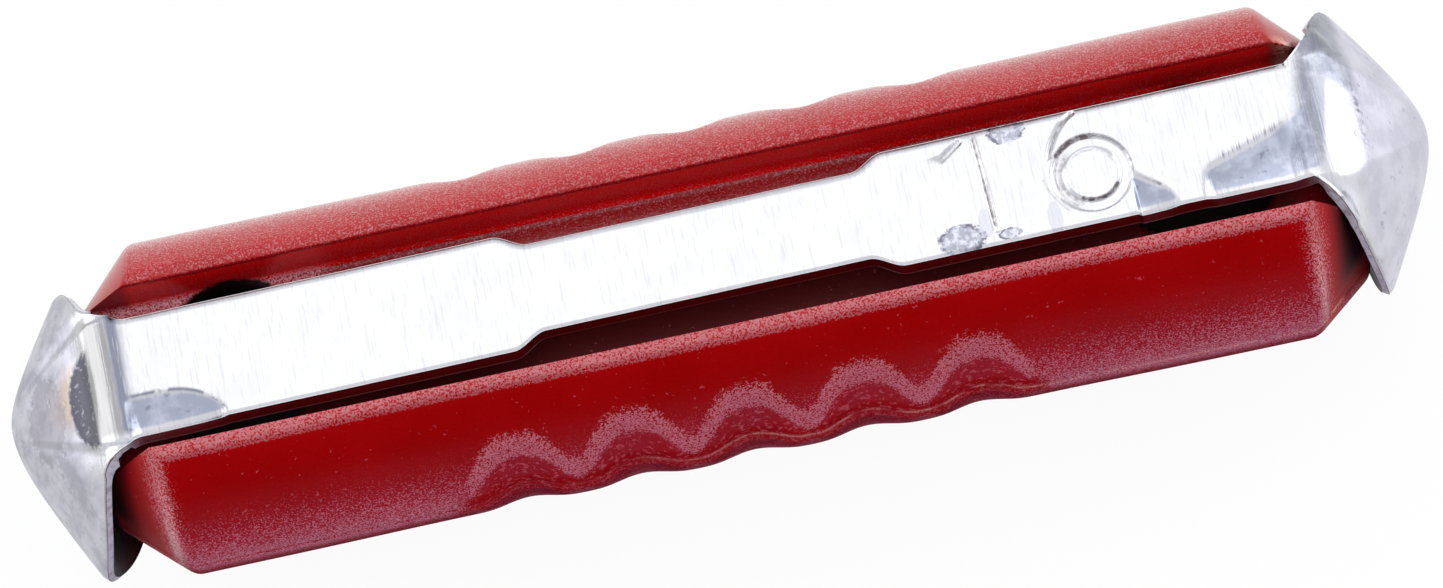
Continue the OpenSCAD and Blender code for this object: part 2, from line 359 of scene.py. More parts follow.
def line_distance(x, y, start, end):
    """Distance from points to a straight stroke."""
    start, end = np.array(start), np.array(end)
    way = end - start
    share = np.clip(((x - start[0]) * way[0] + (y - start[1]) * way[1]) / (way @ way), 0, 1)
    return np.hypot(x - start[0] - share * way[0], y - start[1] - share * way[1])


def arc_distance(x, y, centre, radius, start, end):
    """Distance from points to an arc between two angles in degrees, counter-clockwise."""
    angle = np.degrees(np.arctan2(y - centre[1], x - centre[0]))
    middle, half = (start + end) / 2, (end - start) / 2
    off = (angle - middle + 180) % 360 - 180
    held = np.radians(middle + np.clip(off, -half, half))
    return np.hypot(x - centre[0] - radius * np.cos(held), y - centre[1] - radius * np.sin(held))


def stamp_distance(x, y):
    """Distance past the sides of the strokes of the plain rating numerals stamped in the strip, a 1
    and a 6; below zero inside a stroke."""
    one = line_distance(x, y, (4.7, 0.86), (4.78, -0.8)) - 0.035
    flag = line_distance(x, y, (4.46, 0.9), (4.06, 0.62)) - 0.05
    ring = arc_distance(x, y, RING_AT, 0.58, 0, 360) - 0.1
    tail = arc_distance(x, y, TAIL_AT, 1.36, 124, 162) - 0.04
    return np.minimum.reduce([one, flag, ring, tail])


def stamp_shade(x, y):
    """How much painted shade falls on the strokes of the numerals and the creases beside them, 0 to 1: bell curves
    across each line, with its ends rounded."""
    strokes = [
        (line_distance(x, y, (4.715, 0.93), (4.745, -0.7)), 0.02, 0.75),
        (line_distance(x, y, (4.76, 0.93), (4.79, -0.7)), 0.035, 0.4),
        (line_distance(x, y, (4.44, 0.88), (4.2, 0.7)), 0.06, 0.25),
        (line_distance(x, y, (4.14, 0.67), (4.06, 0.62)), 0.05, 0.5),
        (arc_distance(x, y, TAIL_AT, 1.36, 124, 162), 0.035, 0.5),
        (arc_distance(x, y, RING_AT, 0.68, 82, 140), 0.045, 1.0),
        (arc_distance(x, y, RING_AT, 0.69, -15, 80), 0.035, 0.5),
        (arc_distance(x, y, RING_AT, 0.62, 140, 235), 0.02, 0.55),
        (arc_distance(x, y, RING_AT, 0.54, 130, 240), 0.06, 0.45),
        (arc_distance(x, y, RING_AT, 0.47, 240, 325), 0.03, 1.0),
        (arc_distance(x, y, RING_AT, 0.42, 20, 130), 0.02, 0.4),
        (arc_distance(x, y, RING_AT, 0.7, 205, 300), 0.02, 0.35),
        (arc_distance(x, y, (6.9, 0.1), 1.2, 190, 225), 0.02, 0.4),
        (line_distance(x, y, (7.24, -0.36), (7.62, -0.62)), 0.05, 0.7),
        (line_distance(x, y, (8.5, -0.53), (9.7, -0.15)), 0.045, 0.35)]
    return np.maximum.reduce([level * bump(distance / width) for distance, width, level in strokes])


def press(inside, slope):
    """A face that tips down past a crease, at the given slope, and levels out again at the strip's side."""
    over = 0.5 * (inside + np.sqrt(inside ** 2 + 0.03 ** 2))
    return -slope * soft_min(over, 0.62 + 0 * over, 0.3)


def strip_dents(x, y):
    """Height of the strip's dents: the pressed one at the left bend and the twisted patches beside the
    numerals."""
    far = np.clip((x + 10.2) / 1.55, 0, 1)
    dent = press(-0.37 - 0.45 * far ** 4 - y, 0.24) * smooth_step((-8.58 - x) / 0.1)
    patch = press(-0.42 + 0.32 * (x - 8.5) + 0.5 * np.maximum(x - 9.7, 0) ** 2 - y, 0.17)
    patch = patch * smooth_step((x - 8.3) / 0.25)
    second = press(-0.25 - 0.85 * np.maximum(x - 7.25, 0) - y, 0.2) * smooth_step((x - 7.14) / 0.1)
    second = second * smooth_step((8.0 - x) / 0.3)
    return dent + patch + second


def strip_relief(x, y):
    """Height added to the strip's top face: stamped strokes, dents and a slow unevenness of the sheet."""
    stamped = -STAMP_DEPTH * smooth_step((STAMP_WALL / 2 - stamp_distance(x, y)) / STAMP_WALL)
    slow = 0.006 * np.sin(1.3 * x + 0.6) * np.cos(1.1 * y) + 0.003 * np.sin(3.7 * x + 2 * y)
    return stamped + strip_dents(x, y) + slow


def sheet_edge(distance, width, fall):
    """How far the sheet's face falls near its cut edge: die roll, steeper towards the edge."""
    over = np.clip(1 - distance / width, 0, 1)
    return fall * over ** 1.35


def half_width(x):
    """Half the strip's width: the neck's, rising over a smooth shoulder at each end, then as a parabola
    into the caps."""
    half = NECK_HALF + (STRIP_HALF - NECK_HALF) * smooth_step((np.abs(x - NECK_X) - NECK_HALF_L) / SHOULDER_L)
    for end in (LEFT, RIGHT):
        over = np.clip((x * end - FLARE_START[end]) / (bend_x(end) - FLARE_START[end]), 0, 1)
        half = half + (END_HALF[end] - STRIP_HALF) * over ** 2
    return half


def cap_sheet(end, angles, depth):
    """One face of a cap as a grid of points, ring by ring from the outer edge, with the tip last."""
    share = 2 * (CORNER_X[end] - bend_x(end))
    share = share / (share / 2 + math.hypot(TIP_X - CORNER_X[end], STRIP_Z))
    along = np.concatenate([share * np.linspace(0, 1, 15)[:-1], share + (1 - share) * np.linspace(0, 1, 31)[:-1]])
    points = cap_points(end, along[:, None], angles[None, :])
    normals = cap_normals(end, along[:, None], angles[None, :])
    turn = np.abs((angles + np.pi) % (2 * np.pi) - np.pi)
    rim = smooth_step((turn - strip_angle(end)) / 0.2)
    from_edge = along[:, None] * 3 + (1 - rim[None, :]) * 9
    fall = sheet_edge(from_edge, 0.12, 0.045)
    if end == LEFT:
        x, y = points[..., 0], points[..., 1]
        fall = fall + 0.07 * bump((x - 10.98) / 0.2) * bump(y / 0.75) * (points[..., 2] > 0)
    deep = np.where(depth > 0, depth - 0.4 * fall, fall)
    points = points - deep[..., None] * normals
    if depth > 0:
        steep = (rim_x(end, turn + 0.005, angles) - rim_x(end, turn - 0.005, angles)) / (0.01 * CAP_R)
        size = np.maximum(RIM_LEAN - SHEET_T * normals[:1, :, 0], 0) / np.hypot(1, steep)
        away = smooth_step((turn - strip_angle(end)) / 0.15)
        side = smooth_step((np.pi - turn) / 0.9) * (np.sin(angles) < 0)
        near_edge = smooth_step(1 - along[:, None] * 3 / 0.4) * side
        strip_shift = -CUT_LEAN * END_HALF[end] * np.minimum(turn / strip_angle(end), 1)
        points[..., 0] -= near_edge * away * size
        points[..., 1] += near_edge * ((1 - away) * strip_shift - away * size * steep * np.cos(turn))
        points[..., 2] -= near_edge * away * size * steep * np.sin(turn)
    tip = np.array([[TIP_X - depth, TIP_Y[end], 0.0]])
    return np.concatenate([points.reshape(-1, 3), tip]) * np.array([end, 1, 1]), len(along)


def fuse_element(material):
    """The whole element: two cap grids and a strip grid that share their points where they meet, once
    for the outer face and once for the inner face, with the cut edge between them."""
    cols = 76
    share = np.sin(np.linspace(-1, 1, cols + 1) * 1.25) / math.sin(1.25)
    free = np.linspace(0, 1, 121)[1:-1]
    free = free - 0.06 * np.sin(2 * np.pi * free)
    ring_n = cols + 1 + len(free)

    def cap_angles(end):
        half = strip_angle(end)
        return np.concatenate([np.arcsin(share * END_HALF[end] / CAP_R), half + (2 * np.pi - 2 * half) * free])

    rows_x = np.concatenate([
        stretch((-bend_x(LEFT), -8.4, 36), (-8.4, -3.75, 12), (-3.75, -2.95, 12), (-2.95, 2.45, 12),
                (2.45, 3.25, 12), (3.25, 4.1, 5), (4.1, 8.1, 190), (8.1, 9.8, 50)),
        np.linspace(9.8, bend_x(RIGHT), 12)])[1:-1]

    def face(depth):
        left, rings = cap_sheet(LEFT, cap_angles(LEFT), depth)
        right, _ = cap_sheet(RIGHT, cap_angles(RIGHT), depth)
        wide = half_width(rows_x)[:, None]
        y = wide * share[None, :]
        x = np.broadcast_to(rows_x[:, None], y.shape)
        back = y > 0
        fall = sheet_edge(wide - np.abs(y), np.where(back, 0.19, 0.06), np.where(back, 0.08, 0.02))
        lean = CUT_LEAN if depth > 0 else 0.0
        ends = smooth_step((x + bend_x(LEFT)) / 0.3) * smooth_step((bend_x(RIGHT) - x) / 0.4)
        relief = strip_relief(x, y) * ends
        top_z = soft_min(STRIP_Z, np.sqrt(CAP_R ** 2 - y ** 2), 0.02)
        z = top_z - fall + relief if depth == 0 else top_z - depth + 0.4 * fall + 0.6 * relief
        y = np.where(back, y, y * (1 + lean))
        strip = np.stack([x, y, z], axis=-1).reshape(-1, 3)
        return np.concatenate([left, right, strip]), rings

    outer, rings = face(0.0)
    inner, _ = face(SHEET_T)
    face_n = len(outer)
    cap_n = rings * ring_n + 1
    left_ids = np.arange(rings * ring_n).reshape(rings, ring_n)
    right_ids = left_ids + cap_n
    strip_ids = 2 * cap_n + np.arange(len(rows_x) * (cols + 1)).reshape(len(rows_x), cols + 1)
    strip_ids = np.concatenate([left_ids[:1, :cols + 1], strip_ids, right_ids[:1, :cols + 1]])

    def closed(ids):
        return np.concatenate([ids, ids[:, :1]], axis=1)

    def fan(ids, tip):
        last = closed(ids)[-1]
        return np.stack([last[:-1], np.full(ring_n, tip), last[1:]], axis=-1)

    top = np.concatenate([grid_quads(closed(left_ids))[:, ::-1], grid_quads(closed(right_ids)),
                          grid_quads(strip_ids)])
    tips = np.concatenate([fan(left_ids, cap_n - 1)[:, ::-1], fan(right_ids, 2 * cap_n - 1)])

    loop = np.concatenate([closed(left_ids)[0, cols:-1], strip_ids[:-1, 0],
                           closed(right_ids)[0, :cols:-1], strip_ids[:0:-1, cols]])
    between = np.array([0.12, 0.5, 0.88])[:, None, None]
    cut = (outer[loop] * (1 - between) + inner[loop] * between).reshape(-1, 3)
    cut_ids = 2 * face_n + np.arange(len(cut)).reshape(3, len(loop))
    cut_ids = np.concatenate([loop[None, :], cut_ids, loop[None, :] + face_n])
    walls = grid_quads(closed(cut_ids))[:, ::-1]
    points = np.concatenate([outer, inner, cut])
    depth = np.concatenate([np.zeros(face_n), np.ones(face_n), np.full(len(cut), 0.5)])
    on_strip = np.abs(points[:, 0]) < 10.3
    x, y = points[:, 0], points[:, 1]
    # Painted shade: the dents beside the numerals (negative V) and the numerals' strokes with the creases beside them
    # (positive V), passed to the material in the UV's V.
    dent_shade = smooth_step(-strip_dents(x, y) / 0.04) * smooth_step((y + 0.97) / 0.1)
    shade = np.where(on_strip & (depth == 0), stamp_shade(x, y) - dent_shade, 0)
    turned = points.copy()
    turned[:, 0] = YAW_X + (points[:, 0] - YAW_X) * math.cos(ELEMENT_YAW) - points[:, 1] * math.sin(ELEMENT_YAW)
    turned[:, 1] = (points[:, 0] - YAW_X) * math.sin(ELEMENT_YAW) + points[:, 1] * math.cos(ELEMENT_YAW)
    turned[:, 2] += AXIS_Z
    quads = np.concatenate([top, top[:, ::-1] + face_n, walls])
    triangles = np.concatenate([tips, tips[:, ::-1] + face_n])
    return make_mesh("fuse_element_sheet", turned, quads, triangles, material,
                     np.stack([depth, shade], axis=-1))


# Materials

class Wire:
    """A shader socket whose arithmetic adds Math nodes."""

    def __init__(self, bench, socket):
        self.bench = bench
        self.socket = socket

    def math(self, operation, *values):
        return self.bench.node("ShaderNodeMath", {"operation": operation}, *values)

    def __add__(self, other):
        return self.math("ADD", self, other)

    def __radd__(self, other):
        return self.math("ADD", other, self)

    def __sub__(self, other):
        return self.math("SUBTRACT", self, other)

    def __rsub__(self, other):
        return self.math("SUBTRACT", other, self)

    def __mul__(self, other):
        return self.math("MULTIPLY", self, other)

    def __rmul__(self, other):
        return self.math("MULTIPLY", other, self)

    def __truediv__(self, other):
        return self.math("DIVIDE", self, other)

    def bell(self, middle, width):
        """1 at the middle, falling as exp(-t^2)."""
        t = (self - middle) / width
        return self.math("EXPONENT", t * t * -1.0)

    def above(self, low, high):
        """0 below low, 1 above high, smooth between; with low above high, the other way round."""
        if low > high:
            return 1.0 - self.above(high, low)
        return self.bench.node("ShaderNodeMapRange", {"interpolation_type": "SMOOTHSTEP"},
                               self, low, high, 0.0, 1.0)


class Bench:
    """One node tree, with one method that adds any node."""

    def __init__(self, tree, clear=True):
        self.tree = tree
        if clear:
            tree.nodes.clear()

    def node(self, kind, settings, *values, output=0, **named):
        node = self.tree.nodes.new(kind)
        for name, value in settings.items():
            setattr(node, name, value)
        for index, value in list(enumerate(values)) + list(named.items()):
            socket = node.inputs[index.replace("_", " ")] if isinstance(index, str) else node.inputs[index]
            self.feed(socket, value)
        return Wire(self, node.outputs[output]) if node.outputs else node

    def feed(self, socket, value):
        if isinstance(value, Wire):
            self.tree.links.new(value.socket, socket)
        else:
            socket.default_value = value

    def mix(self, share, first, second):
        """Colour between first and second."""
        node = self.tree.nodes.new("ShaderNodeMix")
        node.data_type = "RGBA"
        colours = [socket for socket in node.inputs if socket.type == "RGBA"]
        self.feed(node.inputs[0], share)
        self.feed(colours[0], first)
        self.feed(colours[1], second)
        return Wire(self, [socket for socket in node.outputs if socket.type == "RGBA"][0])

    def noise(self, place, scale, detail=2.0, roughness=0.5):
        return self.node("ShaderNodeTexNoise", {}, Vector=place, Scale=scale, Detail=detail, Roughness=roughness)

    def place(self, stretch_xyz=(1.0, 1.0, 1.0)):
        """Object coordinates in millimetres, stretched along the axes."""
        coordinates = self.node("ShaderNodeTexCoord", {}, output="Object")
        scale = [axis / MM for axis in stretch_xyz]
        return self.node("ShaderNodeVectorMath", {"operation": "MULTIPLY"}, coordinates, scale)

    def axes(self, place):
        split = self.node("ShaderNodeSeparateXYZ", {}, place).socket.node
        return [Wire(self, split.outputs[index]) for index in range(3)]


def shader(name, build):
    """A material whose Principled shader gets the inputs that build works out."""
    material = bpy.data.materials.new(name)
    material.use_nodes = True
    bench = Bench(material.node_tree)
    surface = bench.node("ShaderNodeBsdfPrincipled", {}, **build(bench))
    bench.node("ShaderNodeOutputMaterial", {}, Surface=surface)
    return material


def red_ceramic(bench):
    """Dyed ceramic with a pressed skin: deep red with a fine grain, dusty grain mixed with a painted pale pink sheen
    where the faces catch light, lighter rubbed flash along the parting line and one chipped corner by the right cap.
    Painted shade darkens the groove, the pockets, the chip's recess and the gap by the caps; painted light brightens
    the groove's back wall and the ledge."""
    place = bench.place()
    x, y, z = bench.axes(place)
    grain = bench.noise(place, 26.0, 1.0, 0.4)
    sand = bench.noise(place, 32.0, 1.0, 0.5)
    specks = bench.noise(place, 9.0, 2.0, 0.6)
    clouds = bench.noise(place, 0.7, 2.0, 0.5)
    colour = bench.mix(clouds.above(0.3, 0.7), (0.31, 0.0006, 0.001, 1), (0.34, 0.0009, 0.002, 1))
    height = (z - AXIS_Z).math("ABSOLUTE", z - AXIS_Z)
    outward = x.math("ABSOLUTE", x)
    # Painted shade in the groove under the strip, lighter towards its ends.
    groove = y.above(-1.47, -1.42) * y.above(0.3, 0.0) * z.above(AXIS_Z + RIM_Z - 0.1, AXIS_Z + RIM_Z - 0.4)
    colour = bench.mix(groove * (0.75 - 0.5 * outward.above(9.7, 10.2)), colour, (0.01, 0.0, 0.0005, 1))
    # Painted light: the groove's back wall is painted a brighter red than the body, with its top edge made ragged by
    # noise.
    ragged_z = z + (specks - 0.5) * 0.12
    wall = y.above(1.38, 1.44) * y.above(1.58, 1.50) * ragged_z.above(AXIS_Z + RIM_Z - 0.08, AXIS_Z + RIM_Z - 0.16)
    colour = bench.mix(wall * outward.above(10.1, 9.85), colour, (0.92, 0.0006, 0.001, 1))
    facet = outward.above(10.0, 10.15) * y.above(0.3, -0.3)
    shadow = (outward - 0.24 * x.above(1.0, -1.0)).above(10.2, 10.62) * y.above(0.3, -0.3)
    shadow = shadow * (0.35 + 0.6 * z.above(AXIS_Z + 0.1, AXIS_Z + 0.7))
    wave = (x * (math.pi / 2)).math("COSINE", x * (math.pi / 2))
    dome = 1.0 - wave.math("POWER", 1.0 - wave * wave, 2.1)
    arch = ARCH_LOW ** 2 + dome * (ARCH_TOP ** 2 - ARCH_LOW ** 2)
    below = arch.math("SQRT", arch) - height + (specks - 0.5) * 0.4
    grips = outward.above(5.2, 4.8) * y.math("ABSOLUTE", y).above(2.1, 2.3)
    # Painted sheen: masks of the faces that catch light, the arches of the grips, the lower side, the rim's top, the
    # taper, the back side, the foot of the parting line and the ledge.
    band = below.above(-0.2, 0.1) * below.above(0.75, 0.5)
    low = height.above(1.9, 0.2) * (1.0 - below.above(0.5, 0.75) * grips) * (1.0 - facet * 0.8)
    rim = z.above(AXIS_Z + RIM_Z - 0.09, AXIS_Z + RIM_Z - 0.05) * y.above(0.0, -1.0)
    taper = outward.bell(9.99, 0.23) * y.above(0.0, -0.5) * 0.9
    back = y.above(0.6, 1.4) * outward.above(10.1, 9.8) * 0.35
    ledge = (z - AXIS_Z).bell(GROOVE_Z, 0.07) * y.above(0.8, 1.0) * y.above(1.6, 1.5) * x.above(-6.3, -6.9)
    sheen_zones = (band * grips).math("MAXIMUM", band * grips, low * 0.7)
    foot = z.above(AXIS_Z - 0.04, AXIS_Z - 0.12) * 0.45
    sheen_zones = sheen_zones.math("MAXIMUM", sheen_zones, rim.math("MAXIMUM", rim, taper.math("MAXIMUM", taper, back)))
    sheen_zones = sheen_zones.math("MAXIMUM", sheen_zones, foot.math("MAXIMUM", foot, ledge))
    inside = below.above(0.5, 0.8) * grips
    # Dusty grain mixed with painted pink sheen on those faces, paler on the upper faces, which catch more light.
    dust_and_sheen = (sand + sheen_zones * 0.2 - inside * 0.05).above(0.61, 0.72) * (sheen_zones + inside * 0.3).above(0.0, 0.6) * (1.0 - groove)
    sandy_sheen = bench.mix(z.above(AXIS_Z + 1.6, AXIS_Z + 2.2), (0.62, 0.19, 0.23, 1), (0.45, 0.115, 0.13, 1))
    colour = bench.mix(dust_and_sheen * 0.75, colour, sandy_sheen)
    colour = bench.mix((specks + inside * 0.12).above(0.67, 0.75) * 0.5, colour, (0.60, 0.10, 0.13, 1))
    flash = (z - AXIS_Z).bell(0.0, 0.06) * bench.noise(place, 2.2, 2.0).above(0.36, 0.52)
    flash = flash * sand.above(0.3, 0.6)
    flash = flash * x.above(-4.0, 1.0) * (y * -1.0).above(2.2, 2.5)
    colour = bench.mix(flash * 0.85, colour, (0.72, 0.27, 0.24, 1))
    chip = x.bell(10.3, 0.2) * y.bell(1.5, 0.16) * z.above(AXIS_Z + 1.2, AXIS_Z + 1.5)
    colour = bench.mix(chip * specks.above(0.36, 0.5), colour, (0.70, 0.33, 0.24, 1))
    # Painted shade in the chip's recess by the right cap.
    hole_shade = x.bell(10.42, 0.09) * y.bell(1.5, 0.14) * z.above(AXIS_Z + 1.2, AXIS_Z + 1.4)
    colour = bench.mix(hole_shade * 0.9, colour, (0.05, 0.0, 0.01, 1))
    across = y.math("ABSOLUTE", y)
    # Painted shade in the pockets, and in the opening where the left one cuts into the groove's wall.
    pocket_shade = outward.above(10.0, 9.95) * across.above(1.48, 1.46) * z.above(AXIS_Z + GROOVE_Z - 0.02, AXIS_Z + GROOVE_Z - 0.08)
    pocket_shade = pocket_shade * z.above(AXIS_Z - 1.0, AXIS_Z - 0.9)
    unrolled = y + (z - AXIS_Z - GROOVE_Z) * 0.364
    mouth_shade = reach(x, unrolled, (specks - 0.5) * 0.3, (-8.26, 1.0), (0.92, 0.56)).above(1.1, 0.85)
    mouth_shade = mouth_shade * y.above(0.9, 1.0) * y.above(1.8, 1.6)
    # Painted highlight: the ledge by the left end of the groove is a bright pink, broken by the grain.
    colour = bench.mix(ledge * sand.above(0.35, 0.55) * 0.8, colour, (0.95, 0.34, 0.37, 1))
    colour = bench.mix(pocket_shade.math("MAXIMUM", pocket_shade, mouth_shade), colour, (0.01, 0.0, 0.0005, 1))
    colour = bench.mix(shadow, colour, (0.012, 0.0, 0.0006, 1))
    rough = 0.12 + 0.14 * grain + 0.4 * groove + 0.5 * facet + 0.5 * mouth_shade
    coat = sand.above(0.40, 0.66) * (1.0 - groove) * (1.0 - facet) * (1.0 - wall) * (1.0 - pocket_shade)
    coat = coat * (1.0 - y.above(0.3, 0.8) * outward.above(9.8, 10.0)) * (1.0 - mouth_shade) * (1.0 - inside * 0.8)
    normal = bench.node("ShaderNodeBump", {}, Strength=0.8, Distance=0.005 * MM, Height=grain)
    return {"Base_Color": colour, "Roughness": rough, "Normal": normal, "Specular_IOR_Level": 0.28,
            "Coat_Weight": coat, "Coat_Roughness": 0.14}


def reach(x, y, ragged, centre, size):
    """Squared distance from the centre of an ellipse, 1 on its outline, made ragged."""
    across = (x - centre[0]) / size[0]
    up = (y - centre[1]) / size[1]
    return across * across + up * up + ragged


def blot(x, y, ragged, centre, size):
    """A patch with a ragged outline: 1 inside an ellipse, 0 outside."""
    return reach(x, y, ragged, centre, size).above(1.15, 0.85)


def bright_sheet(bench):
    """Rolled sheet: bright with fine streaks across the strip; the caps duller, mottled and pitted, with a painted
    dark reflection in the hollow and a brown mark by the left bend, and scuffs beside the numerals. Painted shade
    darkens the numerals' strokes, the dents, the creases, the bends' highlights and the sheet's inner face, and a pale
    painted highlight lies by the right cap's edge."""
    place = bench.place()
    x, y, z = bench.axes(place)
    streaks = bench.noise(bench.place((9.0, 0.6, 0.6)), 2.5, 3.0, 0.6)
    mottle = bench.noise(place, 2.0, 4.0, 0.6)
    fine = bench.noise(place, 9.0, 3.0, 0.6)
    ragged = (fine - 0.5) * 1.6
    pits = bench.noise(place, 6.0, 2.0, 0.5).above(0.64, 0.74)
    outward = x.math("ABSOLUTE", x)
    cap = outward.above(10.75, 11.2)
    top = z.above(AXIS_Z + 0.3, AXIS_Z + 0.9)
    bright = bench.mix(mottle.above(0.35, 0.65), (0.57, 0.575, 0.57, 1), (0.61, 0.615, 0.61, 1))
    left = bench.mix(mottle.above(0.35, 0.65), (0.37, 0.37, 0.42, 1), (0.54, 0.54, 0.59, 1))
    right = bench.mix(mottle.above(0.35, 0.65), (0.56, 0.555, 0.63, 1), (0.66, 0.655, 0.73, 1))
    dull = bench.mix(x.above(-1.0, 1.0), left, right)
    bright = bench.mix(streaks.above(0.52, 0.72) * 0.5, bright, (0.44, 0.44, 0.47, 1))
    colour = bench.mix(cap, bright, dull)
    colour = bench.mix(pits * cap * 0.5, colour, (0.30, 0.30, 0.34, 1))
    far = reach(x, y, ragged * 0.7, (4.16, -0.84), (0.4, 0.27))
    far = far.math("MINIMUM", far, reach(x, y, ragged * 0.7, (5.28, 0.92), (0.32, 0.22)))
    far = far.math("MINIMUM", far, reach(x, y, ragged * 0.7, (4.98, -0.9), (0.2, 0.1)))
    faint = blot(x, y, ragged * 0.5, (4.62, -0.62), (0.12, 0.26))
    faint = faint.math("MAXIMUM", faint, blot(x, y, ragged * 0.5, (5.78, -0.8), (0.13, 0.3)))
    on_top = z.above(AXIS_Z + 2.0, AXIS_Z + 2.1)
    colour = bench.mix(faint * on_top * 0.5, colour, (0.42, 0.43, 0.47, 1))
    smeared = bench.mix(fine.above(0.42, 0.60), (0.27, 0.28, 0.32, 1), (0.50, 0.51, 0.55, 1))
    colour = bench.mix(far.above(1.15, 0.85) * on_top * (0.6 + 0.6 * streaks), colour, smeared)
    hatch = (y + 0.40 - (x - 8.5) * 0.32).bell(0.0, 0.06) * x.above(8.6, 8.8) * x.above(9.95, 9.7)
    colour = bench.mix(hatch * streaks.above(0.48, 0.6) * 0.7, colour, (0.17, 0.18, 0.22, 1))
    dots = far.above(1.2, 1.0) * far.above(0.5, 0.8) * bench.noise(place, 12.0, 2.0).above(0.47, 0.57)
    colour = bench.mix(dots * on_top * 0.85, colour, (0.10, 0.10, 0.13, 1))
    # Painted shade in the creases of the left bend and where the right bend meets the cone.
    crease_shade = x.bell(-10.29, 0.14) * y.above(1.25, 1.0) * y.above(-1.25, -1.0) * (0.45 + 0.7 * streaks.above(0.2, 0.5))
    crease_shade = crease_shade.math("MINIMUM", crease_shade, 1.0)
    crease_shade = crease_shade + x.bell(11.24, 0.05) * (y - 0.1).bell(0.0, 0.65) * fine.above(0.42, 0.6) * 0.8
    colour = bench.mix(crease_shade * top, colour, (0.17, 0.18, 0.22, 1))
    # Painted dark reflection in the hollow by the left bend, with light flecks.
    lens = blot(x, y, ragged * 0.35, (-10.8, -0.3), (0.46, 0.87)) * x.above(-10.76, -10.84) * top
    lens_shade = bench.mix(fine.above(0.56, 0.74), (0.10, 0.10, 0.12, 1), (0.36, 0.36, 0.40, 1))
    colour = bench.mix(lens * 0.95, colour, lens_shade)
    brown = reach(x, y, ragged * 0.6, (-10.9, -0.1), (0.85, 0.72)).above(1.1, 0.1) * x.above(-10.95, -11.15) * top
    colour = bench.mix(brown * (1.0 - lens) * 0.7, colour, (0.50, 0.39, 0.28, 1))
    smudge = blot(x, y, ragged * 1.2, (-11.75, -0.2), (0.35, 0.75)) * top
    colour = bench.mix(smudge * 0.5, colour, (0.27, 0.26, 0.29, 1))
    depth, shade, _ = bench.axes(bench.node("ShaderNodeTexCoord", {}, output="UV"))
    # Painted blue-grey shade in the dents beside the numerals, mottled and pitted, with ragged edges.
    dent_shade = bench.mix(mottle.above(0.42, 0.62), (0.32, 0.35, 0.43, 1), (0.47, 0.50, 0.57, 1))
    dent_shade = bench.mix(pits, dent_shade, (0.20, 0.22, 0.28, 1))
    dent_shade_mask = shade * (0.5 + 1.3 * streaks)
    colour = bench.mix(dent_shade_mask.above(-0.1, -0.9) * 0.85, colour, dent_shade)
    # Painted shade over the top and the left side of the right bend, which narrows the softbox highlight there and
    # moves it down.
    shoulder = (y + ragged * 0.06 + (x - 10.9) * 0.4).above(0.5, 0.75)
    slant = ((y - 0.58) * 0.25 - x + 10.78 + ragged * 0.03).above(-0.05, 0.06) * y.above(-1.0, -0.6) * 0.85
    bend = shoulder.math("MAXIMUM", shoulder, slant) * (x - y * 0.23 + ragged * 0.05).above(9.95, 10.25)
    bend = bend * x.above(11.4, 11.1) * top
    bend_shade = bench.mix(mottle.above(0.40, 0.60), (0.20, 0.215, 0.26, 1), (0.33, 0.35, 0.40, 1))
    colour = bench.mix(bend * (0.65 + 0.4 * streaks), colour, bend_shade)
    # Painted shade tones down the softbox highlight on the left bend to a warm grey.
    left_bend = x.above(-10.34, -10.42) * x.above(-10.85, -10.76) * y.above(-1.2, -1.0) * y.above(1.15, 0.9) * top
    colour = bench.mix(left_bend * (0.7 + 0.3 * streaks), colour, (0.32, 0.315, 0.305, 1))
    # Painted shade on the stamped strokes of the numerals and the creases beside them.
    stroke_shade = shade.above(0.0, 1.0) * (0.55 + 0.9 * fine.above(0.35, 0.6))
    colour = bench.mix(stroke_shade.math("MINIMUM", stroke_shade, 0.9), colour, (0.10, 0.075, 0.075, 1))
    # Painted shade: the sheet's inner face, inside the caps and under the strip, is near black.
    colour = bench.mix(depth.above(0.6, 0.95), colour, (0.035, 0.03, 0.035, 1))
    cut = depth.above(0.25, 0.45) * depth.above(0.75, 0.55)
    cut = cut.math("MAXIMUM", cut, depth.above(0.25, 0.45) * y.above(1.2, 1.6) * x.above(10.2, 10.5))
    ends = outward.above(10.0, 10.5) * (0.7 + 0.3 * fine.above(0.35, 0.55))
    edge = bench.mix(ends, (0.22, 0.20, 0.24, 1), (0.52, 0.52, 0.58, 1))
    colour = bench.mix(cut, colour, edge)
    # Painted shade along the raised edge of the pressed dent by the left bend, broken by noise.
    ridge_shade = y + 0.48 + 0.45 * ((x + 10.2) / 1.55).math("POWER", (x + 10.2) / 1.55, 4.0)
    ridge_shade = ridge_shade.bell(0.0, 0.035) * x.above(-10.3, -10.1) * x.above(-8.55, -8.65)
    colour = bench.mix(ridge_shade * bench.noise(place, 5.0, 2.0).above(0.42, 0.55) * 0.8, colour, (0.12, 0.13, 0.17, 1))
    gleam = x.bell(10.68, 0.2) * (y + 1.58).bell(0.0, 0.27) * depth.above(0.2, 0.0) * z.above(AXIS_Z + 1.2, AXIS_Z + 1.6)
    colour = bench.mix(gleam, colour, (0.9, 0.9, 0.95, 1))
    rough = 0.13 + 0.08 * streaks + 0.2 * cap + 0.06 * mottle + 0.15 * lens
    relief = streaks * 0.6 + mottle * 0.8 * cap - pits * cap * 0.6 + fine * 0.25 * cap
    normal = bench.node("ShaderNodeBump", {}, Strength=0.35, Distance=0.02 * MM, Height=relief)
    return {"Base_Color": colour, "Metallic": (1.0 - cut * ends) * (1.0 - gleam), "Roughness": rough, "Normal": normal}


def pale_floor(bench):
    """Matt white board; floor_board lifts it to nearly white for the camera and gives gloss its own emitted colour."""
    return {"Base_Color": (0.88, 0.88, 0.88, 1), "Roughness": 0.9, "Specular_IOR_Level": 0.0}


# Stage, light and camera

